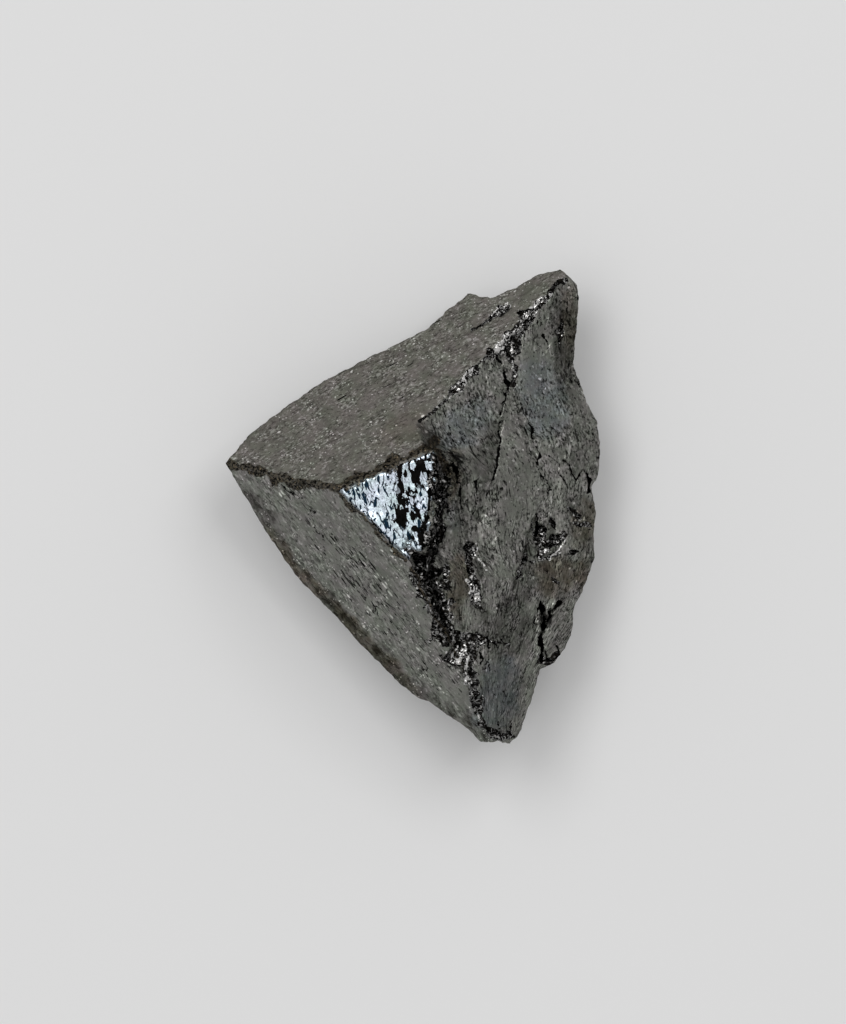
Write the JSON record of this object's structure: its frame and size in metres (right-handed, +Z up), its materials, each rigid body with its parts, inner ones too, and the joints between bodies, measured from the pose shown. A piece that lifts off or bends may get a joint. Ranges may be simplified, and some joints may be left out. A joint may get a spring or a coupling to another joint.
{
  "type": "uraninite crystal specimen",
  "caption": "Dark metallic cube-corner crystal fragment, its point cut off by a small bright triangular face, lying on its broken underside.",
  "frame": {"origin": "centre of the specimen's outline seen from above, on the surface it rests on", "axes": "+Z up, away from the surface it rests on; +Y along its longest side, from the lower tip to the upper tip; +X towards the broken side"},
  "size_m": [0.0212, 0.027, 0.0155],
  "materials": {
    "uraninite": "dark grey sub-metallic, satin on the cube faces, mirror bright on the small triangular face, black and glittering where chipped"
  },
  "bodies": {
    "root": {"crystal": "uraninite"}
  },
  "joints": []
}
